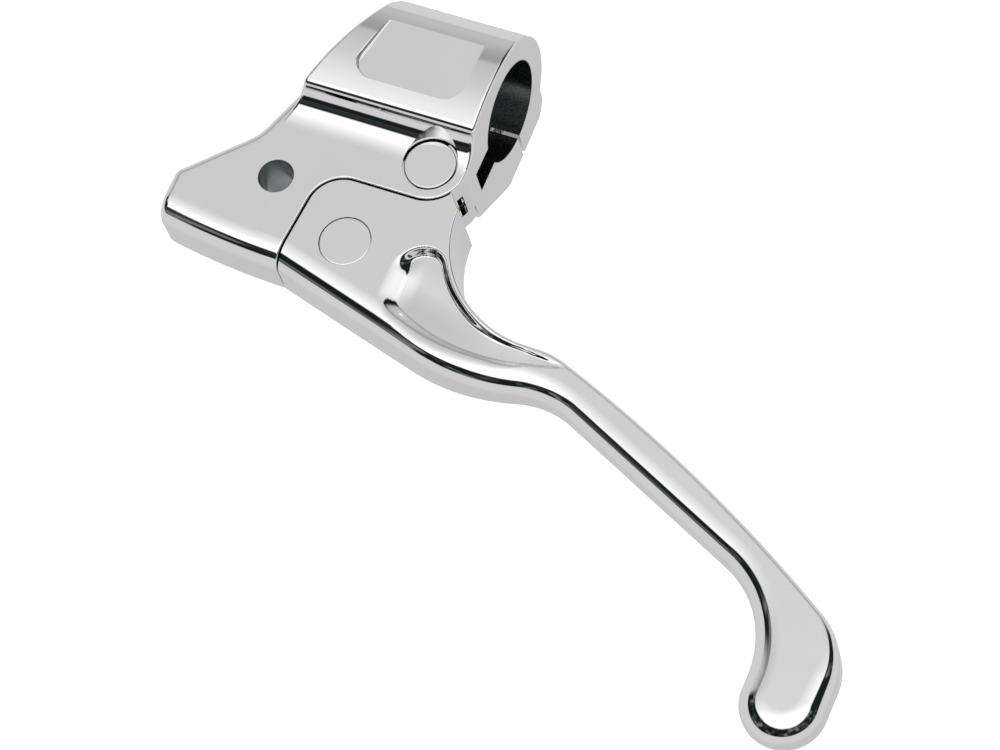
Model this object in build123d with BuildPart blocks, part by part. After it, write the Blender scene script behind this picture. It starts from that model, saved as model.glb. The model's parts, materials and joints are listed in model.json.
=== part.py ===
from build123d import *
from math import cos, radians, sin
import os

os.makedirs("parts", exist_ok=True)

# ---------------------------------------------------------------------------
# Driving dimensions, in millimetres.
# The origin is the middle of the handlebar bore. X runs outboard along the
# bar, Y towards the rider and Z up, parallel to the lever's pivot.
# ---------------------------------------------------------------------------
bar_r = 12.7                      # one-inch handlebar
end_x = 20.2                      # outboard end face of the clamp
slant_x, slant = -19.2, 0.4       # inboard end of the clamp: x = slant_x + slant * y
top_z = 18.3                      # crown of the clamp above the bar's axis
end_edge_r = 1.0                  # round where the crown meets the clamp's ends
panel_z, panel_edge = 16.7, 0.6   # flat sunk panel on the crown
crown_front = (-15.2, 16.4)       # y, z of the crown's front edge
crown_rear = (10.7, 15.2)
rear_wall_r = 18.6
lug_bottom = -20.5

plate_t = 19.0                    # three-quarter-inch plate of perch and lever head
blade_t = 13.0                    # lever blade, measured along the pivot
edge_r = 6.2                      # big round on the perch's finger side
rear_r = 2.5                      # round on the perch's other side
seam_edge_r = 0.5                 # along the seam between perch and lever
lever_edge_r = 3.0                # round along the lever's outline
ease_start, ease_end = 14.0, 64.0  # where the lever thins from head to blade
seam_gap = 0.6                    # between the perch and the lever at rest
snout_x = -48.2

pivot_x, pivot_y = 11.0, -23.5
ear_r = 9.2
boss_r, boss_bottom = 7.0, -8.0   # lower ear, where it hangs into the cap
fork_half = 4.0                   # half height of the fork between the ears
tongue_r, tongue_half = 7.0, 3.1
tongue_web = 6.0                  # half width of the web from tongue to head
pull_deg = 25                     # lever travel that the fork makes room for

pivot_head_r, pivot_head_t = 6.35, 3.0
pocket_r, pocket_flare = 6.8, 10  # pocket round the pivot's head, and its draft in degrees
pin_r, pin_end = 4.0, -9.7
bush_r = 5.5
washer_r, washer_t = 6.8, 0.8
clip_r, clip_t, clip_z = 6.2, 0.9, -8.1
groove_r = 3.2
fit = 0.05                        # running clearance
swing_room = 0.4                  # round the tongue and round the boss

anchor_x, anchor_y = -0.4, -48.6
anchor_r, anchor_end = 6.35, -7.6
ring_r, ring_w, ring_t = 7.1, 1.9, 1.0   # snap ring under the anchor
ring_z, ring_opening = -8.7, 4.5
nipple_r, nipple_top = 3.2, 3.0   # barrel end of the cable, in the anchor
cable_y = -49.2                   # the cable leaves the perch along -X on this line
cable_slot = 3.0
passage_half = 2.2                # half size of the cable's path inside the castings
ferrule_r, ferrule_depth = 4.0, 12.0
mirror_x, mirror_y = -23.5, -37.7
mirror_hole_r = 4.37              # 11/32 inch hole for a 5/16 inch mirror stem

relief_y, relief_rear, relief_top = -19.8, -8.0, 3.0   # slot between perch and cap
joint_z, leg_y = -5.0, -24.2        # cap's top face, and the wall that it bears on
cap_gap, parting = 0.2, 0.5         # round the cap, and half the gap at the lug
hook_y, hook_w, hook_h = -22.4, 1.8, 1.5

screw_xs = (-9.5, 11.5)
screw_z = -16.5
screw_r, screw_head_r, screw_head_t = 2.5, 4.25, 5.0
hex_size, hex_depth = 4.0, 2.6
seat_y, screw_tip = -4.5, 10.0
lock_washer_r, lock_washer_t = 4.2, 1.0
insert_r, insert_end = 3.0, 10.4

tip_x, tip_y, tip_r = 137.5, -120.75, 10.0
scoop_z = 6.9                     # floor of the finger scoop

half_t = plate_t / 2
half_blade = blade_t / 2
slot_height = half_t + cable_slot / 2       # slot from the underside to over the cable
slot_mid = (cable_slot / 2 - half_t) / 2
seam_y = pivot_y - ear_r
lever_ear_r = ear_r + seam_gap
far = 60                          # longer than anything that is cut with it


def slant_at(y):
    """X of the clamp's slanted inboard end at a given y."""
    return slant_x + slant * y


def write(piece, name):
    """Label a finished piece and write it to its own file."""
    piece.label = name
    export_step(piece, f"parts/{name}.step")


def round_x(y, z, r, low, high, mode=Mode.SUBTRACT):
    """Cut or add a round bar along X in the current piece."""
    with BuildSketch(Plane.YZ.offset(low)) as section:
        with Locations((y, z)):
            Circle(r)
    extrude(section.sketch, amount=high - low, mode=mode)


def round_y(x, z, r, low, high, mode=Mode.SUBTRACT):
    """Cut or add a round bar along Y in the current piece."""
    with BuildSketch(Plane.XZ.offset(-low)) as section:
        with Locations((x, z)):
            Circle(r)
    extrude(section.sketch, amount=low - high, mode=mode)


def round_z(x, y, r, low, high, mode=Mode.SUBTRACT):
    """Cut or add a round bar along Z in the current piece."""
    with BuildSketch(Plane.XY.offset(low)) as section:
        with Locations((x, y)):
            Circle(r)
    extrude(section.sketch, amount=high - low, mode=mode)


def slot_x(y, z, width, height, low, high, mode=Mode.SUBTRACT):
    """Cut or add a rectangular bar along X in the current piece."""
    with BuildSketch(Plane.YZ.offset(low)) as section:
        with Locations((y, z)):
            Rectangle(width, height)
    extrude(section.sketch, amount=high - low, mode=mode)


def rims_plate(edge):
    """True for an edge that lies in the plate's upper or lower face."""
    return all(abs(abs((edge @ at).Z) - half_t) < 0.01 for at in (0, 0.5, 1))


def faces_lever(edge):
    """True for an edge of the perch's plate that faces the lever."""
    middle = edge @ 0.5
    return middle.X > snout_x / 2 and middle.Y < pivot_y and not off_seam(edge)


def off_seam(edge):
    """True for an edge of the lever that doesn't face the perch."""
    middle = edge @ 0.5
    return middle.Y < -58.5 or middle.X > 21.5


# ---------------------------------------------------------------------------
# Shapes that more than one piece is cut with
# ---------------------------------------------------------------------------

# All that lies outboard of the clamp's slanted end
with BuildPart() as clamp_plan:
    with BuildSketch():
        with BuildLine():
            Polyline(
                (slant_at(-30), -30),
                (end_x, -30),
                (end_x, 25),
                (slant_at(25), 25),
                close=True,
            )
        make_face()
    extrude(amount=30, both=True)

# End view of the whole clamp: bevel and crown over the bar, rear wall, screw
# lug, and underneath the cap's slanted belly
with BuildPart() as clamp_block:
    with BuildSketch(Plane.YZ.offset(end_x)):
        with BuildLine():
            TangentArc((leg_y, half_t), crown_front, tangent=(1, 0))
            ThreePointArc(crown_front, (-2.0, top_z), crown_rear)
            RadiusArc(crown_rear, (16.4, -8.7), rear_wall_r)
            Polyline(
                (16.4, -8.7),
                (13.8, -12.6),
                (13.6, -17.2),
                (10.4, lug_bottom),
                (-9.0, -21.4),
                (-12.0, -19.5),
                (leg_y, -11.2),
                (leg_y, half_t),
            )
        make_face()
        fillet(vertices().sort_by_distance(crown_front)[0], 2.4)
        fillet(vertices().sort_by_distance((13.8, -12.6))[0], 2)
        fillet(vertices().sort_by_distance((13.6, -17.2))[0], 2)
        fillet(vertices().sort_by_distance((10.4, lug_bottom))[0], 2)
        fillet(vertices().sort_by_distance((-9.0, -21.4))[0], 2)
    extrude(amount=-far)
    add(clamp_plan.part, mode=Mode.INTERSECT)
    ends = edges().filter_by(lambda edge: (edge @ 0.5).Z > half_t and (edge @ 0.5).Y < 12)
    outboard = ends.filter_by_position(Axis.X, end_x - 0.01, end_x + 0.01)
    fillet(outboard, end_edge_r)
    slanted = edges().filter_by(
        lambda edge: (edge @ 0.5).Z > half_t
        and (edge @ 0.5).Y < 12
        and abs((edge @ 0.5).X - slant_at((edge @ 0.5).Y)) < 0.05
    )
    fillet(slanted, end_edge_r)

# Room for the cap: under the joint and in front of the parting gap
with BuildPart() as cap_room:
    with BuildSketch(Plane.XY.offset(joint_z)):
        with BuildLine():
            Polyline(
                (slant_at(leg_y) - cap_gap, leg_y),
                (end_x + 1, leg_y),
                (end_x + 1, parting),
                (slant_at(parting) - cap_gap, parting),
                close=True,
            )
        make_face()
    extrude(amount=-far)

# Sunk panel on the crown, slanted like the clamp's inboard end
with BuildPart() as panel_cutter:
    with BuildSketch(Plane.XY.offset(panel_z)):
        with BuildLine():
            Polyline((-15.6, -10.2), (14.2, -10.2), (14.2, 18), (-8.4, 18), close=True)
        make_face()
        fillet(vertices().group_by(Axis.Y)[0], 5.0)
    extrude(amount=10)
    fillet(faces().sort_by(Axis.Z)[0].edges(), panel_edge)

# ---------------------------------------------------------------------------
# Perch: plate, ears and snout in one with the upper half of the bar clamp
# ---------------------------------------------------------------------------
seam_corner = (-13.0, seam_y)
seam_front = (-15.1, -58.9)
snout_front = (snout_x, -55.6)

with BuildPart() as perch_body:
    with BuildSketch(Plane.XY.offset(-half_t)):
        with BuildLine():
            Line((end_x, -12), (end_x, pivot_y))
            RadiusArc((end_x, pivot_y), (pivot_x, seam_y), ear_r)
            Polyline((pivot_x, seam_y), seam_corner, seam_front)
            ThreePointArc(seam_front, (-32.0, -57.9), snout_front)
            Polyline(
                snout_front,
                (snout_x, -43.2),
                (-32.7, -27.9),
                (-28.0, -15.6),
                (slant_at(-12), -12),
                (end_x, -12),
            )
        make_face()
        fillet(vertices().sort_by_distance(seam_corner)[0], 8.8)
        fillet(vertices().sort_by_distance((-32.7, -27.9))[0], 12)
        fillet(vertices().sort_by_distance((snout_x, -43.2))[0], 3)
    extrude(amount=plate_t)
    for side in (half_t, -half_t):
        rim = faces().sort_by_distance((-30, -45, side))[0].edges()
        fillet(rim.sort_by_distance((-32.0, -57.9, side))[0], edge_r)
    rim = edges().filter_by(rims_plate)
    fillet(rim.filter_by(lambda edge: (edge @ 0.5).X < -29 and (edge @ 0.5).Y > -50), rear_r)
    rim = edges().filter_by(rims_plate)
    fillet(rim.filter_by(faces_lever), seam_edge_r)

    add(clamp_block.part)
    round_x(0, 0, bar_r, -far, far)
    add(cap_room.part, mode=Mode.SUBTRACT)
    relief_w = relief_rear - relief_y
    relief_h = relief_top - joint_z
    slot_x(relief_y + relief_w / 2, joint_z + relief_h / 2, relief_w, relief_h, -far, far)
    add(panel_cutter.part, mode=Mode.SUBTRACT)

    # Lower ear, which hangs over the cap
    round_z(pivot_x, pivot_y, boss_r, boss_bottom, -fork_half, mode=Mode.ADD)

    # Fork for the lever's tongue, open as far as the web swings
    with BuildSketch(Plane.XY.offset(-fork_half)):
        with Locations((pivot_x, pivot_y)):
            Circle(tongue_r + swing_room)
        with BuildLine():
            swing = radians(pull_deg + 2)
            reach = tongue_web + swing_room
            tangent = (pivot_x + reach * cos(swing), pivot_y + reach * sin(swing))
            Polyline(
                (pivot_x - reach, pivot_y),
                (pivot_x - reach, seam_y - 3),
                (tangent[0] + 16 * sin(swing), seam_y - 3),
                (tangent[0] + 14 * sin(swing), tangent[1] - 14 * cos(swing)),
                tangent,
                close=True,
            )
        make_face()
    extrude(amount=2 * fork_half, mode=Mode.SUBTRACT)

    # Pivot pin: hole, pocket for the head, and room for the clip
    round_z(pivot_x, pivot_y, pin_r + fit, -far, far)
    round_z(pivot_x, pivot_y, pocket_r, half_t - pivot_head_t - fit, half_t)
    with BuildSketch(Plane.XY.offset(half_t)):
        with Locations((pivot_x, pivot_y)):
            Circle(pocket_r)
    extrude(amount=12, taper=-pocket_flare, mode=Mode.SUBTRACT)
    round_z(pivot_x, pivot_y, boss_r, -far, boss_bottom)

    # Mirror hole, and the cable's way through the snout
    round_z(mirror_x, mirror_y, mirror_hole_r, -far, far)
    round_x(cable_y, 0, ferrule_r, snout_x, snout_x + ferrule_depth)
    slot_x(cable_y, slot_mid, cable_slot, slot_height, snout_x, seam_front[0] + 4)
    slot_x(cable_y, 0, 2 * passage_half, 2 * passage_half, -32, seam_front[0] + 4)

    # Groove for the cap's hook, and screw inserts in the lug
    hook_end = pivot_x - boss_r - swing_room
    slot_x(hook_y, joint_z, hook_w + 2 * cap_gap, 2 * (hook_h + cap_gap), -far, hook_end)
    for x in screw_xs:
        round_y(x, screw_z, insert_r, 0, insert_end)
        round_y(x, screw_z, screw_r + fit, 0, insert_end + 1)

write(perch_body.part, "perch_body")

# ---------------------------------------------------------------------------
# Cap: lower front of the bar clamp, hooked into the perch and screwed to its lug
# ---------------------------------------------------------------------------
with BuildPart() as clamp_cap:
    add(clamp_block.part)
    with BuildSketch(Plane.XY.offset(joint_z)):
        with BuildLine():
            Polyline(
                (slant_at(-30), leg_y + cap_gap),
                (end_x, leg_y + cap_gap),
                (end_x, -parting),
                (slant_at(-30), -parting),
                close=True,
            )
        make_face()
    extrude(amount=-far, mode=Mode.INTERSECT)
    slot_x(hook_y, joint_z, hook_w, 2 * hook_h, -far, hook_end - cap_gap, mode=Mode.ADD)
    add(clamp_plan.part, mode=Mode.INTERSECT)
    round_x(0, 0, bar_r, -far, far)
    round_z(pivot_x, pivot_y, boss_r + swing_room, pin_end - swing_room, 0)
    for x in screw_xs:
        round_y(x, screw_z, screw_r + 0.25, -far, 0)
        round_y(x, screw_z, screw_head_r + 0.25, -far, seat_y)

write(clamp_cap.part, "clamp_cap")

# ---------------------------------------------------------------------------
# Lever: head with a tongue, finger scoop, slim blade and a round tip
# ---------------------------------------------------------------------------
exit_angle = radians(-33)         # where the lever leaves the ear
ear_exit = (
    pivot_x + lever_ear_r * cos(exit_angle),
    pivot_y + lever_ear_r * sin(exit_angle),
)
lever_corner = (seam_corner[0] + seam_gap, seam_y - seam_gap)
lever_front = (seam_front[0] + seam_gap, -59.0)
lever_rear = (22.3, -32.5)

# Finger scoop: a teardrop whose flat floor runs out over the blade's top
with BuildPart() as scoop_cutter:
    with BuildSketch(Plane.XY.offset(scoop_z)):
        with BuildLine():
            Line((13.8, -61.7), (13.8, -50.5))
            crest = TangentArc((13.8, -50.5), (20.5, -43.8), tangent=(0, 1))
            turn = TangentArc(crest @ 1, (25.0, -46.5), tangent=crest % 1)
            along = JernArc(turn @ 1, (0.509, -0.861), 28.5, 57)
            Polyline(along @ 1, (66, -61.6), (66, -65.6), (56, -65.6))
            ThreePointArc((56, -65.6), (42, -67.8), (29, -66.6))
            Line((29, -66.6), (13.8, -61.7))
        make_face()
        fillet(vertices().sort_by_distance((13.8, -61.7))[0], 5)
    extrude(amount=6)

with BuildPart() as lever:
    with BuildSketch(Plane.XY.offset(-half_t)):
        with BuildLine():
            # Finger side, from the seam to the tip
            chin = Line(lever_front, (24.0, -69.8))
            bulge = JernArc(chin @ 1, chin % 1, 55, 28.3)
            hollow = JernArc(bulge @ 1, bulge % 1, 23, -37.1)
            blade_front = PolarLine(hollow @ 1, 51.45, direction=hollow % 1)
            neck = JernArc(blade_front @ 1, blade_front % 1, 26, -65.5)
            Line(neck @ 1, (tip_x - tip_r, tip_y))
            # Rider's side, from the ear to the tip
            RadiusArc(ear_exit, (pivot_x, pivot_y - lever_ear_r), lever_ear_r)
            Line(ear_exit, lever_rear)
            throat = JernArc(lever_rear, (0.02, -1), 27.2, 88.9)
            saddle = PolarLine(throat @ 1, 4.5, direction=throat % 1)
            shoulder = JernArc(saddle @ 1, saddle % 1, 20, -20.4)
            blade_rear = JernArc(shoulder @ 1, shoulder % 1, 410, -12.32)
            heel = JernArc(blade_rear @ 1, blade_rear % 1, 17, -57.28)
            Line(heel @ 1, (tip_x + tip_r, tip_y))
            ThreePointArc((tip_x - tip_r, tip_y), (tip_x, tip_y - tip_r), (tip_x + tip_r, tip_y))
            # Seam with the perch
            Polyline((pivot_x, pivot_y - lever_ear_r), lever_corner, lever_front)
        make_face()
        fillet(vertices().sort_by_distance(lever_corner)[0], 8.2)
    extrude(amount=plate_t)

    # The thickness eases down from the head to the blade
    with BuildSketch(Plane.XZ):
        with BuildLine():
            ease_mid = ((ease_start + ease_end) / 2, (half_t + half_blade) / 2)
            Line((-30, 0), (-30, half_t))
            Line((-30, half_t), (ease_start, half_t))
            fall = TangentArc((ease_start, half_t), ease_mid, tangent=(1, 0))
            TangentArc(fall @ 1, (ease_end, half_blade), tangent=fall % 1)
            Line((ease_end, half_blade), (170, half_blade))
            Line((170, half_blade), (170, 0))
            mirror(about=Plane.XZ)
        make_face()
    extrude(amount=150, mode=Mode.INTERSECT)
    across = edges().filter_by(Axis.Z, reverse=True).filter_by(Axis.Y, reverse=True)
    fillet(across.filter_by(off_seam), lever_edge_r)

    # Tongue with its bush hole, and the web that joins it to the head
    round_z(pivot_x, pivot_y, tongue_r, -tongue_half, tongue_half, mode=Mode.ADD)
    with BuildSketch(Plane.XY.offset(-tongue_half)):
        with Locations((pivot_x, pivot_y - 7)):
            Rectangle(2 * tongue_web, 14)
    extrude(amount=2 * tongue_half)
    round_z(pivot_x, pivot_y, bush_r, -far, far)

    # Hole for the cable anchor, with a groove for its snap ring
    round_z(anchor_x, anchor_y, anchor_r + fit, -far, far)
    round_z(anchor_x, anchor_y, ring_r + fit, ring_z - fit, ring_z + ring_t + fit)

    # Room for the cable, which fans out as the lever swings, and a slot to slip it in
    with BuildSketch(Plane.XY.offset(-passage_half)):
        with BuildLine():
            Polyline(
                (anchor_x, anchor_y - 1.8),
                (-16, anchor_y - 2.0),
                (-16, anchor_y + 9.6),
                (anchor_x, anchor_y + 1.8),
                close=True,
            )
        make_face()
    extrude(amount=2 * passage_half, mode=Mode.SUBTRACT)
    slot_x(anchor_y, slot_mid, cable_slot, slot_height, -16, anchor_x)

    add(scoop_cutter.part, mode=Mode.SUBTRACT)

write(lever.part, "lever")

# ---------------------------------------------------------------------------
# Pivot: flush-headed pin, bush, thrust washers and clip
# ---------------------------------------------------------------------------
with BuildPart() as pivot_pin:
    head_seat = half_t - pivot_head_t
    round_z(pivot_x, pivot_y, pivot_head_r, head_seat, half_t - fit, mode=Mode.ADD)
    fillet(faces().sort_by(Axis.Z)[-1].edges(), 0.4)
    round_z(pivot_x, pivot_y, pin_r, pin_end, head_seat, mode=Mode.ADD)
    chamfer(faces().sort_by(Axis.Z)[0].edges(), 0.4)
    with BuildSketch(Plane.XY.offset(clip_z - clip_t - fit)):
        with Locations((pivot_x, pivot_y)):
            Circle(pin_r + 1)
            Circle(groove_r, mode=Mode.SUBTRACT)
    extrude(amount=clip_t + 2 * fit, mode=Mode.SUBTRACT)

write(pivot_pin.part, "pivot_pin")

with BuildPart() as pivot_bush:
    round_z(pivot_x, pivot_y, bush_r, -tongue_half, tongue_half, mode=Mode.ADD)
    round_z(pivot_x, pivot_y, pin_r + fit, -far, far)

write(pivot_bush.part, "pivot_bush")

with BuildPart() as thrust_washer_upper:
    washer_z = tongue_half + fit
    round_z(pivot_x, pivot_y, washer_r, washer_z, washer_z + washer_t, mode=Mode.ADD)
    round_z(pivot_x, pivot_y, pin_r + fit, -far, far)

write(thrust_washer_upper.part, "thrust_washer_upper")

with BuildPart() as thrust_washer_lower:
    round_z(pivot_x, pivot_y, washer_r, -washer_z - washer_t, -washer_z, mode=Mode.ADD)
    round_z(pivot_x, pivot_y, pin_r + fit, -far, far)

write(thrust_washer_lower.part, "thrust_washer_lower")

with BuildPart() as pivot_clip:
    with BuildSketch(Plane.XY.offset(clip_z - clip_t)):
        with Locations((pivot_x, pivot_y)):
            Circle(clip_r)
            Circle(groove_r + fit, mode=Mode.SUBTRACT)
        with Locations((pivot_x, pivot_y + clip_r)):
            Rectangle(4.6, 2 * clip_r, mode=Mode.SUBTRACT)
    extrude(amount=clip_t)

write(pivot_clip.part, "pivot_clip")

# ---------------------------------------------------------------------------
# Cable anchor: a drum that turns in the lever's head, held up by a snap ring
# ---------------------------------------------------------------------------
with BuildPart() as anchor_pin:
    round_z(anchor_x, anchor_y, anchor_r, anchor_end, half_t - 0.1, mode=Mode.ADD)
    fillet(faces().sort_by(Axis.Z)[-1].edges(), 0.4)
    round_z(anchor_x, anchor_y, nipple_r, -far, nipple_top)
    slot_x(anchor_y, slot_mid, cable_slot, slot_height, -far, anchor_x)

write(anchor_pin.part, "anchor_pin")

with BuildPart() as anchor_snap_ring:
    with BuildSketch(Plane.XY.offset(ring_z)):
        with Locations((anchor_x, anchor_y)):
            Circle(ring_r)
            Circle(ring_r - ring_w, mode=Mode.SUBTRACT)
        with Locations((anchor_x - ring_r, anchor_y)):
            Rectangle(ring_r, ring_opening, mode=Mode.SUBTRACT)
    extrude(amount=ring_t)

write(anchor_snap_ring.part, "anchor_snap_ring")

# ---------------------------------------------------------------------------
# Clamp fasteners: socket screws, lock washers and thread inserts
# ---------------------------------------------------------------------------
head_low = seat_y - lock_washer_t - screw_head_t

with BuildPart() as clamp_screws:
    for x in screw_xs:
        round_y(x, screw_z, screw_r, head_low, screw_tip, mode=Mode.ADD)
        round_y(x, screw_z, screw_head_r, head_low, head_low + screw_head_t, mode=Mode.ADD)
    crowns = faces().filter_by(Axis.Y).group_by(Axis.Y)
    fillet(crowns[0].edges(), 0.5)
    chamfer(crowns[-1].edges(), 0.5)
    with BuildSketch(Plane.XZ.offset(-head_low)):
        with Locations(*[(x, screw_z) for x in screw_xs]):
            RegularPolygon(hex_size / 2, 6, major_radius=False)
    extrude(amount=-hex_depth, mode=Mode.SUBTRACT)

write(clamp_screws.part, "clamp_screws")

with BuildPart() as clamp_lock_washers:
    for x in screw_xs:
        round_y(x, screw_z, lock_washer_r, seat_y - lock_washer_t, seat_y, mode=Mode.ADD)
        round_y(x, screw_z, screw_r + fit, -far, far)
        with BuildSketch(Plane.XZ.offset(-seat_y)):
            with Locations((x, screw_z + lock_washer_r)):
                Rectangle(0.6, 2 * lock_washer_r)
        extrude(amount=lock_washer_t, mode=Mode.SUBTRACT)

write(clamp_lock_washers.part, "clamp_lock_washers")

with BuildPart() as clamp_thread_inserts:
    for x in screw_xs:
        round_y(x, screw_z, insert_r, parting, screw_tip, mode=Mode.ADD)
        round_y(x, screw_z, screw_r, -far, far)

write(clamp_thread_inserts.part, "clamp_thread_inserts")
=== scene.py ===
import json
from math import acos, asin, atan2, ceil, cos, degrees, pi, radians, sin, sqrt

import bpy
import numpy as np
from mathutils import Matrix, Vector
from mathutils.geometry import delaunay_2d_cdt


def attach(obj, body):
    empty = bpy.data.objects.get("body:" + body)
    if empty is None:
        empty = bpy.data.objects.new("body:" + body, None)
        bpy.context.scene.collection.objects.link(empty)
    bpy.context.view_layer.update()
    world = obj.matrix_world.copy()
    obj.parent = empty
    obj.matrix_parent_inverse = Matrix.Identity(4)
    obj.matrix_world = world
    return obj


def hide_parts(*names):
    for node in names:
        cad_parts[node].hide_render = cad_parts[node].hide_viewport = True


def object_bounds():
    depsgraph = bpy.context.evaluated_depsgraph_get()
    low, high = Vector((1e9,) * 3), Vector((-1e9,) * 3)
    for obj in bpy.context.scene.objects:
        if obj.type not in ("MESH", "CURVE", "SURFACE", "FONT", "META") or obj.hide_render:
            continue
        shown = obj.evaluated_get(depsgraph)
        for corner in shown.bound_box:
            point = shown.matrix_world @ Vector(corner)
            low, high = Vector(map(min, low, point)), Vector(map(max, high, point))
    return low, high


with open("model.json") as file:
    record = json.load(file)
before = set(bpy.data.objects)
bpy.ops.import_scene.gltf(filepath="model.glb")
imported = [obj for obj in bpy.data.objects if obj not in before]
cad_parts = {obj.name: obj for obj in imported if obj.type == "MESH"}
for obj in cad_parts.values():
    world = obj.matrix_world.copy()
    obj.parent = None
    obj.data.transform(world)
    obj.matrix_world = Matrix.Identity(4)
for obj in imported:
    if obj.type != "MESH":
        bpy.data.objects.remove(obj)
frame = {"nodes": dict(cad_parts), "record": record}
cad_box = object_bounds()
nodes = frame["nodes"]
record = frame["record"]

MM = 0.001

# Mounts whose bore is rougher and painted darker as shade, and how far past its wall that patch reaches,
# in millimetres
SHADED_ROUGH_BORES = {"bar_clamp": 0.15, "mirror_hole": 0.08}


# ---------------------------------------------------------------------------
# Materials
# ---------------------------------------------------------------------------
def new_material(name):
    """An empty node material with a Principled shader and object coordinates."""
    material = bpy.data.materials.new(name)
    material.use_nodes = True
    tree = material.node_tree
    shader = tree.nodes["Principled BSDF"]
    coords = tree.nodes.new("ShaderNodeTexCoord")
    return material, tree, shader, coords


def noise(tree, coords, scale, detail=4.0, rough=0.55, stretch=(1, 1, 1)):
    """Noise over the object's own coordinates; scale is in cycles per metre."""
    mapping = tree.nodes.new("ShaderNodeMapping")
    mapping.inputs["Scale"].default_value = stretch
    texture = tree.nodes.new("ShaderNodeTexNoise")
    texture.inputs["Scale"].default_value = scale
    texture.inputs["Detail"].default_value = detail
    texture.inputs["Roughness"].default_value = rough
    tree.links.new(coords.outputs["Object"], mapping.inputs["Vector"])
    tree.links.new(mapping.outputs["Vector"], texture.inputs["Vector"])
    return texture.outputs["Fac"]


def ramp(tree, value, stops):
    """A colour ramp from (position, grey or colour) stops."""
    node = tree.nodes.new("ShaderNodeValToRGB")
    points = node.color_ramp.elements
    while len(points) < len(stops):
        points.new(0.5)
    for point, (position, colour) in zip(points, stops):
        point.position = position
        if not isinstance(colour, tuple):
            colour = (colour, colour, colour)
        point.color = (*colour, 1)
    tree.links.new(value, node.inputs["Fac"])
    return node.outputs["Color"]


def bump(tree, height, strength, distance, normal=None):
    """A bump node; distance in metres."""
    node = tree.nodes.new("ShaderNodeBump")
    node.inputs["Strength"].default_value = strength
    node.inputs["Distance"].default_value = distance
    tree.links.new(height, node.inputs["Height"])
    if normal:
        tree.links.new(normal, node.inputs["Normal"])
    return node.outputs["Normal"]


def inside_bore(tree, coords, mount, margin):
    """1 inside a mount's bore, which runs along X, Y or Z, its wall included, else 0."""
    keep = [1.0 - abs(part) for part in mount["axis"]]
    centre = [place * kept for place, kept in zip(mount["pos_m"], keep)]
    radius = (mount["dims"]["r_mm"] + margin) * MM
    flat = tree.nodes.new("ShaderNodeVectorMath")
    flat.operation = "MULTIPLY"
    flat.inputs[1].default_value = keep
    tree.links.new(coords.outputs["Object"], flat.inputs[0])
    away = tree.nodes.new("ShaderNodeVectorMath")
    away.operation = "DISTANCE"
    away.inputs[1].default_value = centre
    tree.links.new(flat.outputs["Vector"], away.inputs[0])
    near = tree.nodes.new("ShaderNodeMath")
    near.operation = "LESS_THAN"
    near.inputs[1].default_value = radius
    tree.links.new(away.outputs["Value"], near.inputs[0])
    return near.outputs["Value"]


def either(tree, first, second, fac):
    """Mix two colours by a mask."""
    node = tree.nodes.new("ShaderNodeMix")
    node.data_type = "RGBA"
    tree.links.new(fac, node.inputs["Factor"])
    tree.links.new(first, node.inputs["A"])
    tree.links.new(second, node.inputs["B"])
    return node.outputs["Result"]


def chrome_material(name, tint=(0.80, 0.795, 0.795)):
    """Polished chrome plate: faint cloudiness, buffing ripple and hairline marks.

    The plating is rougher inside the clamp's bore and the mirror hole, and its colour there is darkened
    as painted shade in the recesses.
    """
    material, tree, shader, coords = new_material(name)
    shader.inputs["Metallic"].default_value = 1.0
    clouds = noise(tree, coords, 55, 3)
    low = tuple(c * 0.97 for c in tint)
    plated = ramp(tree, clouds, ((0.3, low), (0.7, tint)))
    smudges = noise(tree, coords, 140, 5, 0.6)
    polish = ramp(tree, smudges, ((0.35, 0.03), (0.75, 0.075)))
    streaks = noise(tree, coords, 60, 5, 0.6, (0.3, 1, 1))
    # Painted shade: a darker, streaked colour for inside the bores
    painted_bore_shade = ramp(tree, streaks, ((0.3, (0.20, 0.22, 0.22)), (0.7, (0.40, 0.42, 0.42))))
    worn = ramp(tree, streaks, ((0.3, 0.16), (0.7, 0.30)))
    for mount in record["mounts"]:
        if mount["name"] not in SHADED_ROUGH_BORES:
            continue
        # Inside each bore the colour is swapped for the painted shade and the plate is made rougher
        shaded_bore = inside_bore(tree, coords, mount, SHADED_ROUGH_BORES[mount["name"]])
        plated = either(tree, plated, painted_bore_shade, shaded_bore)
        polish = either(tree, polish, worn, shaded_bore)
    tree.links.new(plated, shader.inputs["Base Color"])
    tree.links.new(polish, shader.inputs["Roughness"])
    ripple = noise(tree, coords, 90, 2, 0.4)
    marks = noise(tree, coords, 900, 2, 0.5, (1, 0.06, 1))
    soft = bump(tree, ripple, 0.06, 0.0004)
    tree.links.new(bump(tree, marks, 0.02, 0.00004, soft), shader.inputs["Normal"])
    return material


def metal_material(name, colour, rough_low, rough_high, dark=0.8, scale=300):
    """Machined or plated metal with turning marks and uneven tone."""
    material, tree, shader, coords = new_material(name)
    shader.inputs["Metallic"].default_value = 1.0
    tone = noise(tree, coords, scale, 5, 0.6)
    low = tuple(c * dark for c in colour)
    tree.links.new(ramp(tree, tone, ((0.3, low), (0.7, colour))), shader.inputs["Base Color"])
    wear = noise(tree, coords, scale * 2.2, 4, 0.6)
    tree.links.new(
        ramp(tree, wear, ((0.3, rough_low), (0.7, rough_high))), shader.inputs["Roughness"]
    )
    marks = noise(tree, coords, scale * 6, 3, 0.5, (1, 1, 0.15))
    tree.links.new(bump(tree, marks, 0.15, 0.00005), shader.inputs["Normal"])
    return material


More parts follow.
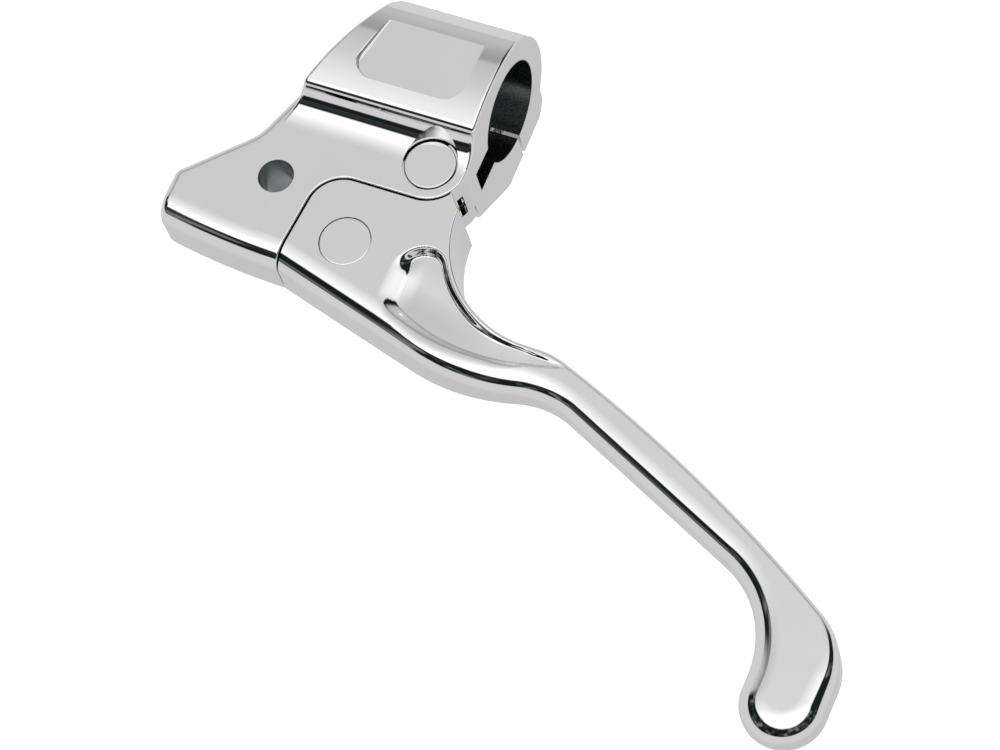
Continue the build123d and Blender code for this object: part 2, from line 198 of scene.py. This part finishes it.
finishes = {
    "chrome": chrome_material("chrome_plate"),
    "zinc_steel": metal_material("zinc_plate", (0.62, 0.62, 0.60), 0.22, 0.38),
    "bronze": metal_material("bearing_bronze", (0.62, 0.43, 0.21), 0.25, 0.42),
    "spring_steel": metal_material("spring_steel", (0.19, 0.19, 0.20), 0.28, 0.45),
}
for part in record["subparts"]:
    mesh = nodes[part["node"]].data
    if not mesh.materials:
        mesh.materials.append(None)
    for index in range(len(mesh.materials)):
        mesh.materials[index] = finishes[part["material_slot"]]


# ---------------------------------------------------------------------------
# Lever, as a smooth mesh with exact normals (millimetres until it is built)
# ---------------------------------------------------------------------------
joints = {joint["name"]: joint for joint in record["behaviour"]["joints"]}

# Where things are in the frame's plan, and their radii. The tip's radius is a hair less than the
# CAD's, so that the mesh stays inside the CAD's box.
PIVOT = np.array(joints["lever_pull"]["pos_m"][:2]) / MM
ANCHOR = np.array(joints["anchor_swivel"]["pos_m"][:2]) / MM
TIP = np.array((137.5, -120.75))
FRONT_CORNER = (-14.5, -59.0)
SEAM_CORNER_X, SEAM_CORNER_R = -12.4, 8.2
ANCHOR_R, EAR_R, TIP_R = 6.4, 9.8, 9.98

# Direction from the pivot in which the throat meets the ear, in degrees, and the length of the
# blade's straight finger side
EAR_END = -33
BLADE_RUN = 51.45

# Half thickness of the head and the blade, where along X one eases to the other, and the height
# of the scoop's floor
HEAD_HALF, BLADE_HALF = 9.5, 6.5
EASE_START, EASE_END = 14.0, 64.0
FLOOR_Z = 6.9

# Radii of the rounded edge along the chin, the blade's finger side, its rider's side, the
# shoulder and the ear
FRONT_R, BLADE_R, REAR_R, SHOULDER_R, EAR_EDGE_R = 5.4, 5.6, 1.3, 0.8, 0.45
EDGE_STEPS = 22

# Tongue in the perch's fork, about the pivot
TONGUE_HALF, TONGUE_R, BUSH_R = 3.1, 7.0, 5.5
TONGUE_SIDE, TONGUE_ROOT, TONGUE_SHOULDER = 6.0, -10.5, -3.6

# Cable's slot along the underside, and the room in the seam wall that the cable swings in
SLOT_HALF, SLOT_TOP = 1.5, 1.5
SLOT_Y = (ANCHOR[1] + SLOT_HALF, ANCHOR[1] - SLOT_HALF)
ROOM_Y, ROOM_INNER_Y = (-50.5, -42.0), (-50.3, -43.8)
ROOM_HALF, ROOM_INNER_X = 2.2, -6.6

# Spacing of points along a path and on a tight curve, and points round a full circle
STEP, FINE_STEP = 0.8, 0.5
ROUND = 96


def unit(heading):
    """Unit vector of a heading in degrees."""
    return np.array((cos(radians(heading)), sin(radians(heading))))


class Path:
    """A chain of tangent lines and arcs, sampled with outward normals and edge radii."""

    def __init__(self, x, y, heading):
        self.at = np.array((x, y), float)
        self.heading = heading
        self.rows = []

    def put(self, at, heading, radius):
        """Add a row: the point, its outward normal and the edge radius there."""
        normal = (sin(radians(heading)), -cos(radians(heading)))
        self.rows.append((at[0], at[1], normal[0], normal[1], radius))

    def line(self, end, r0=0, r1=0, step=STEP):
        """A straight stretch whose edge radius goes from r0 to r1."""
        end = np.array(end, float)
        run = end - self.at
        self.heading = degrees(atan2(run[1], run[0]))
        count = max(2, ceil(np.linalg.norm(run) / step))
        for k in range(count + 1):
            part = k / count
            self.put(self.at + run * part, self.heading, r0 + (r1 - r0) * part)
        self.at = end

    def arc(self, radius, turn, r0=0, r1=0, step=STEP):
        """A round stretch through turn degrees, to the left when positive."""
        side = 1 if turn > 0 else -1
        start = radians(self.heading)
        centre = self.at + side * radius * np.array((-sin(start), cos(start)))
        count = max(4, ceil(radius * radians(abs(turn)) / step))
        for k in range(count + 1):
            part = k / count
            angle = self.heading + turn * part
            here = centre - side * radius * np.array((-sin(radians(angle)), cos(radians(angle))))
            self.put(here, angle, r0 + (r1 - r0) * part)
        self.at = here
        self.heading += turn


def half_height(x):
    """Half thickness of the lever at x: it eases from the head down to the blade."""
    middle = (EASE_START + EASE_END) / 2
    fall = (HEAD_HALF - BLADE_HALF) / 2
    reach = middle - EASE_START
    radius = (reach * reach + fall * fall) / (2 * fall)
    x = np.clip(np.asarray(x, float), EASE_START, EASE_END)
    upper = HEAD_HALF - radius + np.sqrt(radius**2 - np.clip(x - EASE_START, 0, reach) ** 2)
    lower = BLADE_HALF + radius - np.sqrt(radius**2 - np.clip(EASE_END - x, 0, reach) ** 2)
    return np.where(x < middle, upper, lower)


def distance_to(points, loop):
    """Signed distance from points to a closed loop, positive inside it."""
    a = loop
    b = np.roll(loop, -1, axis=0)
    run = b - a
    length2 = np.maximum((run**2).sum(1), 1e-12)
    out = np.empty(len(points))
    # In batches, to keep the arrays small
    batch = 4000
    for start in range(0, len(points), batch):
        p = points[start:start + batch]
        rel = p[:, None, :] - a[None, :, :]
        part = np.clip((rel * run).sum(2) / length2, 0, 1)
        gap = rel - part[..., None] * run
        near = np.sqrt((gap**2).sum(2)).min(1)
        above = (a[:, 1] > p[:, 1:2]) != (b[:, 1] > p[:, 1:2])
        dy = np.where(run[:, 1] == 0, 1e-12, run[:, 1])
        cross_x = a[:, 0] + (p[:, 1:2] - a[:, 1]) * run[:, 0] / dy
        inside = (above & (p[:, 0:1] < cross_x)).sum(1) % 2 == 1
        out[start:start + batch] = np.where(inside, near, -near)
    return out


def eased(value):
    """Smooth step from 0 to 1 over the same range."""
    value = np.clip(value, 0, 1)
    return value * value * (3 - 2 * value)


def scoop_outline():
    """Rim of the finger scoop, as a closed loop."""
    rim = Path(13.8, -57.0, 90)
    rim.line((13.8, -50.5), step=FINE_STEP)
    rim.arc(6.7, -90, step=FINE_STEP)
    rim.arc(5.0, -59.4, step=0.4)
    rim.arc(28.5, 57.4, step=0.4)
    rim.line((64.0, -61.5), step=FINE_STEP)
    rim.line((52.0, -64.15), step=FINE_STEP)
    rim.heading = 206.4
    rim.arc(36.0, -52.1, step=FINE_STEP)
    rim.line((16.97, -62.69), step=FINE_STEP)
    rim.arc(5.6, -64.3, step=0.4)
    return np.array([row[:2] for row in rim.rows])


scoop_rim = scoop_outline()


def scoop_drop(points):
    """How far the scoop sinks the lever's top at each point."""
    d = distance_to(points, scoop_rim)
    x, y = points[:, 0], points[:, 1]
    # The rim is crisp along the rider's side and soft along the finger side and the left
    below = eased((-(y + 54.0) - 0.28 * (x - 24)) / 11)
    left = eased((-46 - y) / 6) * eased((20 - x) / 4)
    soft = 1 - (1 - below) * (1 - left)
    far = eased((x - 38) / 14) * (1 - soft)
    outer = 0.35 + 1.1 * soft - 0.1 * far
    inner = 1.4 + 2.6 * soft - 0.8 * far
    t = eased((d + outer) / (inner + outer))
    # Past the head the floor follows the blade's face a little below it, and runs out
    depth = np.maximum(half_height(x) - FLOOR_Z, 0)
    trail = 0.7 * eased((63 - x) / 12) * eased((x - 34) / 12)
    depth = np.sqrt(depth**2 + trail**2)
    # It sags a little towards the finger side
    sag = 1 + 0.25 * eased((-48 - y - 0.25 * (x - 24)) / 12)
    return depth * sag * (1 - 0.38 * soft) * t


def lift(plan):
    """Height of the lever's top over a plain head's, at points of the plan."""
    return half_height(plan[:, 0]) - HEAD_HALF - scoop_drop(plan)


def shaped(points, normals):
    """Ease the thickness and sink the scoop into a top surface drawn for a plain head."""
    e = 0.02
    flat = points[:, :2]
    gx = (lift(flat + (e, 0)) - lift(flat - (e, 0))) / (2 * e)
    gy = (lift(flat + (0, e)) - lift(flat - (0, e))) / (2 * e)
    out = points.copy()
    out[:, 2] += lift(flat)
    turned = np.stack(
        (normals[:, 0] - gx * normals[:, 2], normals[:, 1] - gy * normals[:, 2], normals[:, 2]), 1
    )
    return out, turned / np.linalg.norm(turned, axis=1)[:, None]


def edge_profile(steps, slow):
    """A rounded edge from wall to top: inset and height from 0 to 1, and tilt from 0 to pi / 2.

    slow flattens its middle towards a chamfer.
    """
    finer = 40
    fine = np.linspace(0, 1, finer * steps + 1)
    tilt = (pi / 2) * (fine - slow * np.sin(2 * pi * (fine - 0.5)) / (2 * pi))
    run_in = np.concatenate(([0], np.cumsum(np.sin((tilt[1:] + tilt[:-1]) / 2))))
    run_up = np.concatenate(([0], np.cumsum(np.cos((tilt[1:] + tilt[:-1]) / 2))))
    keep = slice(None, None, finer)
    return (run_in / run_in[-1])[keep], (run_up / run_up[-1])[keep], tilt[keep]


class Patchwork:
    """Faces gathered from patches, each vertex with its own exact normal."""

    def __init__(self):
        self.points, self.normals, self.faces = [], [], []
        self.count = 0

    def add(self, points, normals, faces):
        """Add a patch whose faces count from its own first point."""
        self.points.append(np.asarray(points, float))
        self.normals.append(np.asarray(normals, float))
        self.faces += [tuple(int(i) + self.count for i in face) for face in faces]
        self.count += len(points)

    def add_grid(self, points, normals, flip=False):
        """Add a rows by columns sheet of quads; flip turns its faces round."""
        rows, columns = points.shape[:2]
        faces = []
        for i in range(rows - 1):
            for j in range(columns - 1):
                a = i * columns + j
                face = (a, a + columns, a + columns + 1, a + 1)
                faces.append(face[::-1] if flip else face)
        self.add(points.reshape(-1, 3), normals.reshape(-1, 3), faces)

    def build(self, name):
        """Make the object, in metres."""
        points = np.concatenate(self.points) * MM
        normals = np.concatenate(self.normals)
        mesh = bpy.data.meshes.new(name)
        mesh.from_pydata(points.tolist(), [], self.faces)
        mesh.polygons.foreach_set("use_smooth", [True] * len(mesh.polygons))
        mesh.normals_split_custom_set_from_vertices(normals.tolist())
        mesh.update()
        thing = bpy.data.objects.new(name, mesh)
        bpy.context.scene.collection.objects.link(thing)
        return thing


def outer_edge():
    """Rows along the finger side, the tip and the rider's side, up to the ear."""
    edge = Path(*FRONT_CORNER, 0)
    edge.line((24.0, -69.8), FRONT_R, FRONT_R)
    edge.arc(55, 28.3, FRONT_R, FRONT_R, FINE_STEP)
    edge.arc(23, -37.1, FRONT_R, BLADE_R, FINE_STEP)
    edge.line(edge.at + BLADE_RUN * unit(edge.heading), BLADE_R, BLADE_R)
    edge.arc(26, -65.5, BLADE_R, 6.1, FINE_STEP)
    edge.line((TIP[0] - TIP_R, TIP[1]), 6.1, 5.9)
    edge.heading = -90
    edge.arc(TIP_R, 180, 5.9, 4.8, 0.3)
    edge.line((TIP[0] + TIP_R, -114.05), 4.8, 4.6)
    edge.heading = 90
    edge.arc(17, 57.28, 4.6, 1.5, 0.4)
    edge.arc(410, 12.32, 1.5, REAR_R)
    edge.arc(20, 20.4, REAR_R, SHOULDER_R, FINE_STEP)
    edge.line((49.5, -59.2), SHOULDER_R, SHOULDER_R)
    edge.heading = 180
    edge.arc(27.2, -88.9, SHOULDER_R, EAR_EDGE_R, 0.4)
    edge.line(PIVOT + EAR_R * unit(EAR_END), EAR_EDGE_R, EAR_EDGE_R)
    rows = np.array(edge.rows)
    # Drop doubled points where two pieces of the path meet
    gap = np.linalg.norm(np.diff(rows[:, :2], axis=0), axis=1)
    return rows[np.concatenate(([True], gap > 1e-6))]


class Seam:
    """The side along the perch: round the ear, straight, round the corner and to the front."""

    def __init__(self, front):
        corner = np.array((SEAM_CORNER_X, PIVOT[1] - EAR_R))
        self.front = front
        self.along = (front - corner) / np.linalg.norm(front - corner)
        turn = degrees(acos(np.clip(np.dot(self.along, (-1, 0)), -1, 1)))
        cut = SEAM_CORNER_R * np.tan(radians(turn / 2))
        path = Path(*(PIVOT + EAR_R * unit(EAR_END)), EAR_END - 90)
        path.arc(EAR_R, -90 - EAR_END, step=0.4)
        path.line(corner + (cut, 0))
        path.heading = 180
        path.arc(SEAM_CORNER_R, turn, step=0.4)
        self.start = path.at.copy()
        # Points where the cable's room and slot begin and end
        for y in (ROOM_Y[1], *SLOT_Y, ROOM_Y[0]):
            path.line(self.at(y))
        path.line(front)
        self.rows = np.array(path.rows)

    def at(self, y):
        """The point at y on the straight stretch to the front."""
        return self.start + self.along * (y - self.start[1]) / self.along[1]


def rounded_edge(rows, seam):
    """The rounded edge above each row, drawn for a plain head: points and normals."""
    ring = np.empty((len(rows), EDGE_STEPS + 1, 3))
    ring_n = np.empty_like(ring)
    # The round is wider and flatter in its middle at the tip and along the chin
    near_tip = np.clip((rows[:, 0] - 118) / 16, 0, 1) * np.clip((-100 - rows[:, 1]) / 22, 0, 1)
    near_chin = 0.7 * np.clip((58 - rows[:, 0]) / 25, 0, 1) * (rows[:, 3] < -0.5)
    for j, (row, slow) in enumerate(zip(rows, np.maximum(near_tip, near_chin))):
        inset, rise_by, tilt = edge_profile(EDGE_STEPS, 0.32 * slow)
        wider = 1 + 0.25 * slow
        ring[j, :, :2] = row[:2] - row[2:4] * (row[4] * wider * inset)[:, None]
        ring[j, :, 2] = HEAD_HALF - row[4] * (1 - rise_by)
        outward = np.cos(tilt) / wider
        length = np.hypot(outward, np.sin(tilt))
        ring_n[j, :, :2] = row[2:4] * (outward / length)[:, None]
        ring_n[j, :, 2] = np.sin(tilt) / length
    # The finger side's first row runs on to the seam's plane
    sweep = rows[1, :2] - rows[0, :2]
    sweep /= np.linalg.norm(sweep)
    across = np.array((seam.along[1], -seam.along[0]))
    for k in range(EDGE_STEPS + 1):
        off = np.dot(seam.front - ring[0, k, :2], across) / np.dot(sweep, across)
        ring[0, k, :2] += sweep * off
    return ring, ring_n


def add_sides(work, rows, ring, ring_n):
    """Rounded edges above and below, and the wall between them."""
    plain = ring.reshape(-1, 3)
    top, top_n = shaped(plain, ring_n.reshape(-1, 3))
    top = top.reshape(ring.shape)
    top_n = top_n.reshape(ring.shape)
    low = plain.copy()
    low[:, 2] += half_height(low[:, 0]) - HEAD_HALF
    low = low.reshape(ring.shape) * (1, 1, -1)
    low_n = ring_n * (1, 1, -1)
    work.add_grid(top, top_n)
    work.add_grid(low, low_n, flip=True)
    # The wall in two bands that meet at mid-height
    wall = np.empty((len(rows), 2, 3))
    wall[:, 0] = np.column_stack((rows[:, :2], np.zeros(len(rows))))
    wall_n = np.repeat(np.column_stack((rows[:, 2:4], np.zeros(len(rows))))[:, None], 2, 1)
    wall[:, 1] = top[:, 0]
    work.add_grid(wall, wall_n)
    under = wall.copy()
    under[:, 1] = low[:, 0]
    work.add_grid(under, wall_n, flip=True)


def plan_grid(x_range, y_range, spacing):
    """Points of a square grid over a rectangle of the plan."""
    x, y = np.arange(*x_range, spacing), np.arange(*y_range, spacing)
    return np.stack(np.meshgrid(x, y), -1).reshape(-1, 2)


def triangulated(points, edges):
    """Plan points and triangles that keep the edges."""
    result = delaunay_2d_cdt([Vector(p) for p in points], edges, [], 1, 1e-7)
    return np.array([(v.x, v.y) for v in result[0]]), [tuple(face) for face in result[2]]


def ring_edges(first, count):
    """Edges of a closed loop of count points from the first."""
    return [(first + i, first + (i + 1) % count) for i in range(count)]


def add_cover(work, border, hole, sign):
    """The top (sign 1) or bottom (-1) inside the rounded edge, with the anchor's hole."""
    low_corner, high_corner = border.min(0), border.max(0)
    spacing = 1.6 if sign > 0 else 3.0
    inner = plan_grid((low_corner[0], high_corner[0]), (low_corner[1], high_corner[1]), spacing)
    inner = inner[distance_to(inner, border) > 0.5]
    if sign > 0:
        # Fine points along the scoop's rim
        fine = plan_grid((10, 62), (-71, -41), 0.25)
        d = distance_to(fine, scoop_rim)
        fine = fine[(d > -1.6) & (d < 4.0)]
        fine = fine[distance_to(fine, border) > 0.12]
        d = distance_to(inner, scoop_rim)
        inner = np.concatenate((inner[(d < -1.8) | (d > 4.2)], fine))
    inner = inner[np.linalg.norm(inner - ANCHOR, axis=1) > ANCHOR_R + 0.5]
    points = np.concatenate((border, hole, inner))
    edges = ring_edges(0, len(border)) + ring_edges(len(border), len(hole))
    if sign < 0:
        # Sides of the cable's slot, from outside the seam to inside the anchor's hole
        ends = [(x, y) for y in SLOT_Y for x in (-18.0, ANCHOR[0] - 5.5)]
        edges += [(len(points), len(points) + 1), (len(points) + 2, len(points) + 3)]
        points = np.concatenate((points, ends))
    flat, faces = triangulated(points, edges)
    centres = np.array([flat[list(face)].mean(0) for face in faces])
    good = np.linalg.norm(centres - ANCHOR, axis=1) > ANCHOR_R - 0.01
    good &= distance_to(centres, border) > 0
    if sign < 0:
        good &= (centres[:, 0] >= ANCHOR[0]) | (abs(centres[:, 1] - ANCHOR[1]) >= SLOT_HALF)
    faces = [face for face, ok in zip(faces, good) if ok]
    solid = np.column_stack((flat, np.full(len(flat), HEAD_HALF)))
    up = np.tile((0.0, 0.0, 1.0), (len(flat), 1))
    if sign > 0:
        solid, up = shaped(solid, up)
    else:
        solid[:, 2] = -half_height(flat[:, 0])
        up = -up
        faces = [face[::-1] for face in faces]
    work.add(solid, up, faces)


def add_open_wall(work, row_xy, row_n, flip, slot_at, room_at):
    """A wall from bottom to top, without the openings of the cable's slot and room."""
    levels = (-HEAD_HALF, -ROOM_HALF, SLOT_TOP, ROOM_HALF, HEAD_HALF)
    for k in range(len(row_xy) - 1):
        middle = (row_xy[k] + row_xy[k + 1]) / 2
        for low_z, high_z in zip(levels, levels[1:]):
            if slot_at(middle) and high_z <= SLOT_TOP:
                continue
            if room_at(middle) and low_z >= -ROOM_HALF and high_z <= ROOM_HALF:
                continue
            patch = np.array([[(*p, low_z), (*p, high_z)] for p in (row_xy[k], row_xy[k + 1])])
            patch_n = np.array([[(*n, 0), (*n, 0)] for n in (row_n[k], row_n[k + 1])])
            work.add_grid(patch, patch_n, flip)


def add_seam(work, seam, ring):
    """The wall along the perch, and the end face of the rounded front edge."""
    # The last stretch stops where the rounded front edge begins
    inner_front = ring[0, -1, :2]
    seam_xy = seam.rows[:, :2].copy()
    seam_xy[(seam_xy - inner_front) @ seam.along > 0] = inner_front
    add_open_wall(
        work,
        seam_xy,
        seam.rows[:, 2:4],
        False,
        lambda p: SLOT_Y[1] < p[1] < SLOT_Y[0] and p[0] < -8,
        lambda p: ROOM_Y[0] < p[1] < ROOM_Y[1] and p[0] < -8,
    )
    end = np.concatenate((ring[0], (ring[0] * (1, 1, -1))[::-1]))
    last = len(end) - 1
    faces = [(k, k + 1, last - 1 - k, last - k) for k in range(EDGE_STEPS)]
    outward = (seam.along[1], -seam.along[0], 0.0)
    work.add(end, np.tile(outward, (len(end), 1)), faces)


def add_anchor_bore(work):
    """The wall of the anchor's bore, with the cable's slot in it."""
    half_slot = asin(SLOT_HALF / ANCHOR_R)
    turns = np.sort(np.append(np.linspace(0, 2 * pi, ROUND + 1), (pi - half_slot, pi + half_slot)))
    inward = -np.column_stack((np.cos(turns), np.sin(turns)))
    add_open_wall(
        work,
        ANCHOR - ANCHOR_R * inward,
        inward,
        True,
        lambda p: abs(p[1] - ANCHOR[1]) < SLOT_HALF and p[0] < ANCHOR[0],
        lambda p: False,
    )


def add_cable_room(work, seam):
    """The slot's sides, and the floor, roof and sides of the room the cable swings in."""
    bore_x = ANCHOR[0] - sqrt(ANCHOR_R**2 - SLOT_HALF**2)
    for y, into in zip(SLOT_Y, (-1, 1)):
        outer_x = seam.at(y)[0]
        quad = [(outer_x, y, -HEAD_HALF), (bore_x, y, -HEAD_HALF)]
        quad += [(bore_x, y, SLOT_TOP), (outer_x, y, SLOT_TOP)]
        work.add(quad, [(0, into, 0)] * 4, [(0, 1, 2, 3) if into < 0 else (3, 2, 1, 0)])
    room = [(seam.at(ROOM_Y[0])[0], ROOM_Y[0]), (ROOM_INNER_X, ROOM_INNER_Y[0])]
    room += [(ROOM_INNER_X, ROOM_INNER_Y[1]), (seam.at(ROOM_Y[1])[0], ROOM_Y[1])]
    work.add([(*p, ROOM_HALF) for p in room], [(0, 0, -1)] * 4, [(3, 2, 1, 0)])
    # The floor is parted by the slot
    parts = ((ROOM_Y[0], ROOM_INNER_Y[0], SLOT_Y[1]), (ROOM_Y[1], ROOM_INNER_Y[1], SLOT_Y[0]))
    for far_y, near_y, slot_y in parts:
        strip = [(seam.at(far_y)[0], far_y), (ROOM_INNER_X, near_y)]
        strip += [(ROOM_INNER_X, slot_y), (seam.at(slot_y)[0], slot_y)]
        order = (0, 1, 2, 3) if far_y < slot_y else (3, 2, 1, 0)
        work.add([(*p, -ROOM_HALF) for p in strip], [(0, 0, 1)] * 4, [order])
    for a, b, side in ((room[0], room[1], (0, 1, 0)), (room[2], room[3], (0, -1, 0))):
        quad = [(*a, -ROOM_HALF), (*b, -ROOM_HALF), (*b, ROOM_HALF), (*a, ROOM_HALF)]
        work.add(quad, [side] * 4, [(3, 2, 1, 0)])


def add_tongue(work, circle):
    """The tongue in the perch's fork, with the bush's hole."""
    left = np.array([(-TONGUE_SIDE, TONGUE_ROOT), (-TONGUE_SIDE, TONGUE_SHOULDER)])
    round_end = [TONGUE_R * unit(angle) for angle in np.linspace(211, -31, 60)]
    right = [(TONGUE_SIDE, TONGUE_ROOT)]
    outline = PIVOT + np.concatenate((left, round_end, right))
    eye = PIVOT + BUSH_R * circle
    count = len(outline)
    edges = ring_edges(0, count) + ring_edges(count, len(eye) - 1)
    flat, faces = triangulated(np.concatenate((outline, eye[:-1])), edges)
    faces = [
        face for face in faces
        if np.linalg.norm(flat[list(face)].mean(0) - PIVOT) > BUSH_R - 0.01
    ]
    for sign in (1, -1):
        solid = np.column_stack((flat, np.full(len(flat), sign * TONGUE_HALF)))
        up = np.tile((0.0, 0.0, float(sign)), (len(flat), 1))
        work.add(solid, up, faces if sign > 0 else [face[::-1] for face in faces])
    for k in range(count):
        a, b = outline[k], outline[(k + 1) % count]
        if 1 < k < count - 2:
            a_n, b_n = (a - PIVOT) / TONGUE_R, (b - PIVOT) / TONGUE_R
        else:
            run = (b - a) / np.linalg.norm(b - a)
            a_n = b_n = np.array((-run[1], run[0]))
        quad = [(*a, -TONGUE_HALF), (*b, -TONGUE_HALF), (*b, TONGUE_HALF), (*a, TONGUE_HALF)]
        work.add(quad, [(*a_n, 0), (*b_n, 0), (*b_n, 0), (*a_n, 0)], [(3, 2, 1, 0)])
    wall = np.stack(
        [np.column_stack((eye, np.full(len(eye), z))) for z in (-TONGUE_HALF, TONGUE_HALF)], 1
    )
    wall_n = np.repeat(np.column_stack((-circle, np.zeros(len(eye))))[:, None], 2, 1)
    work.add_grid(wall, wall_n, flip=True)


def build_lever():
    """The whole lever, patch by patch."""
    work = Patchwork()
    rows = outer_edge()
    seam = Seam(rows[0, :2])
    ring, ring_n = rounded_edge(rows, seam)
    add_sides(work, rows, ring, ring_n)

    border = np.concatenate((ring[:, -1, :2], seam.rows[1:, :2]))
    apart = np.linalg.norm(np.diff(border, axis=0), axis=1) > 1e-4
    border = border[np.concatenate(([True], apart))]
    turns = np.linspace(0, 2 * pi, ROUND + 1)[:-1]
    circle = np.column_stack((np.cos(np.append(turns, 0)), np.sin(np.append(turns, 0))))
    for sign in (1, -1):
        add_cover(work, border, ANCHOR + ANCHOR_R * circle[:-1], sign)

    add_seam(work, seam, ring)
    add_anchor_bore(work)
    add_cable_room(work, seam)
    add_tongue(work, circle)
    return work.build("lever_forging")


lever = build_lever()
lever.data.materials.append(finishes["chrome"])
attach(lever, "lever")
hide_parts("lever")

# ---------------------------------------------------------------------------
# Floor, lights and camera
# ---------------------------------------------------------------------------
FLOOR_REACH, FLOOR_DROP = 6.0, 0.10

floor_mesh = bpy.data.meshes.new("floor")
floor_z = cad_box[0][2] - FLOOR_DROP
corners = ((-1, -1), (1, -1), (1, 1), (-1, 1))
floor_mesh.from_pydata(
    [(x * FLOOR_REACH, y * FLOOR_REACH, floor_z) for x, y in corners], [], [(0, 1, 2, 3)]
)
floor = bpy.data.objects.new("floor", floor_mesh)
bpy.context.scene.collection.objects.link(floor)
paper, tree, shader, coords = new_material("paper")
shader.inputs["Roughness"].default_value = 0.9
shader.inputs["Specular IOR Level"].default_value = 0.1
grain = noise(tree, coords, 30, 3)
tree.links.new(ramp(tree, grain, ((0.3, 0.86), (0.7, 0.88))), shader.inputs["Base Color"])
shader.inputs["Emission Color"].default_value = (1, 1, 1, 1)
shader.inputs["Emission Strength"].default_value = 0.6
floor_mesh.materials.append(paper)
floor.visible_glossy = False

world = bpy.data.worlds.new("studio")
bpy.context.scene.world = world
world.use_nodes = True
tree = world.node_tree
tree.nodes.clear()
output = tree.nodes.new("ShaderNodeOutputWorld")
coords = tree.nodes.new("ShaderNodeTexCoord")
split = tree.nodes.new("ShaderNodeSeparateXYZ")
tree.links.new(coords.outputs["Generated"], split.inputs["Vector"])
# A large soft light hangs overhead, brighter towards the dark side of the studio.
# The other side is a pale backdrop, and the ground is pale grey, darker straight below.
light_side = tree.nodes.new("ShaderNodeVectorMath")
light_side.operation = "DOT_PRODUCT"
light_side.inputs[1].default_value = (0.50, -0.866, 0)
tree.links.new(coords.outputs["Generated"], light_side.inputs[0])


def rise(value, low, high):
    """Smooth step of a value from low to high."""
    node = tree.nodes.new("ShaderNodeMapRange")
    node.interpolation_type = "SMOOTHSTEP"
    node.inputs["From Min"].default_value = low
    node.inputs["From Max"].default_value = high
    tree.links.new(value, node.inputs["Value"])
    return node.outputs["Result"]


def blend(fac, first, second):
    """Mix two colours, each a constant or a socket."""
    node = tree.nodes.new("ShaderNodeMix")
    node.data_type = "RGBA"
    tree.links.new(fac, node.inputs["Factor"])
    for value, socket in ((first, node.inputs["A"]), (second, node.inputs["B"])):
        if isinstance(value, tuple):
            socket.default_value = (*value, 1)
        else:
            tree.links.new(value, socket)
    return node.outputs["Result"]


near = light_side.outputs["Value"]
half_way = tree.nodes.new("ShaderNodeMath")
half_way.operation = "MULTIPLY_ADD"
half_way.inputs[1].default_value = 0.5
half_way.inputs[2].default_value = 0.5
tree.links.new(near, half_way.inputs[0])
softbox = ramp(
    tree,
    half_way.outputs[0],
    (
        (0.08, 0.60),
        (0.27, (0.78, 0.775, 0.775)),
        (0.45, 1.08),
        (0.60, 1.40),
    ),
)
clutter = tree.nodes.new("ShaderNodeTexNoise")
clutter.inputs["Scale"].default_value = 4.5
clutter.inputs["Detail"].default_value = 3.0
tree.links.new(coords.outputs["Generated"], clutter.inputs["Vector"])
shade = ramp(
    tree,
    clutter.outputs["Fac"],
    ((0.47, (0.010, 0.014, 0.014)), (0.56, (0.05, 0.055, 0.055)), (0.64, 0.20)),
)
up = split.outputs["Z"]
backdrop = blend(rise(up, 0.30, 0.62), (0.64, 0.64, 0.64), (0.42, 0.42, 0.42))
walls = blend(rise(near, -0.70, -0.52), backdrop, shade)
upper = blend(rise(up, 0.62, 0.68), walls, softbox)
ground = blend(rise(up, -0.95, -0.35), (0.66, 0.655, 0.66), (0.78, 0.78, 0.785))
sky = blend(rise(up, 0.18, 0.25), ground, upper)

band = tree.nodes.new("ShaderNodeBackground")
tree.links.new(sky, band.inputs["Color"])
plain = tree.nodes.new("ShaderNodeBackground")
plain.inputs["Color"].default_value = (1, 1, 1, 1)
path = tree.nodes.new("ShaderNodeLightPath")
mix = tree.nodes.new("ShaderNodeMixShader")
tree.links.new(path.outputs["Is Camera Ray"], mix.inputs["Fac"])
tree.links.new(band.outputs[0], mix.inputs[1])
tree.links.new(plain.outputs[0], mix.inputs[2])
tree.links.new(mix.outputs[0], output.inputs["Surface"])

# Camera at the photograph's viewing angle: its azimuth, elevation and roll in degrees, where a
# point of the part lies in the camera's own axes in millimetres, and the focal length in image
# widths
AZIMUTH, ELEVATION, ROLL = -48.244, 62.344, -21.138
TARGET = Vector((20, 0, 0))
TARGET_IN_VIEW = Vector((2.204, 63.326, -1000))
SENSOR_WIDTH, FOCAL_WIDTHS = 36.0, 4.1674
facing = Matrix.Rotation(radians(AZIMUTH + 90), 3, "Z") @ Matrix.Rotation(radians(90 - ELEVATION), 3, "X")
facing = facing @ Matrix.Rotation(radians(ROLL), 3, "Z")
camera_data = bpy.data.cameras.new("camera")
camera_data.sensor_width = SENSOR_WIDTH
camera_data.lens = FOCAL_WIDTHS * SENSOR_WIDTH
camera_data.clip_start = 0.01
camera_data.clip_end = 50
camera = bpy.data.objects.new("camera", camera_data)
place = (TARGET - facing @ TARGET_IN_VIEW) * MM
camera.matrix_world = Matrix.Translation(place) @ facing.to_4x4()
bpy.context.scene.collection.objects.link(camera)
bpy.context.scene.camera = camera
bpy.context.scene.view_settings.view_transform = "Standard"
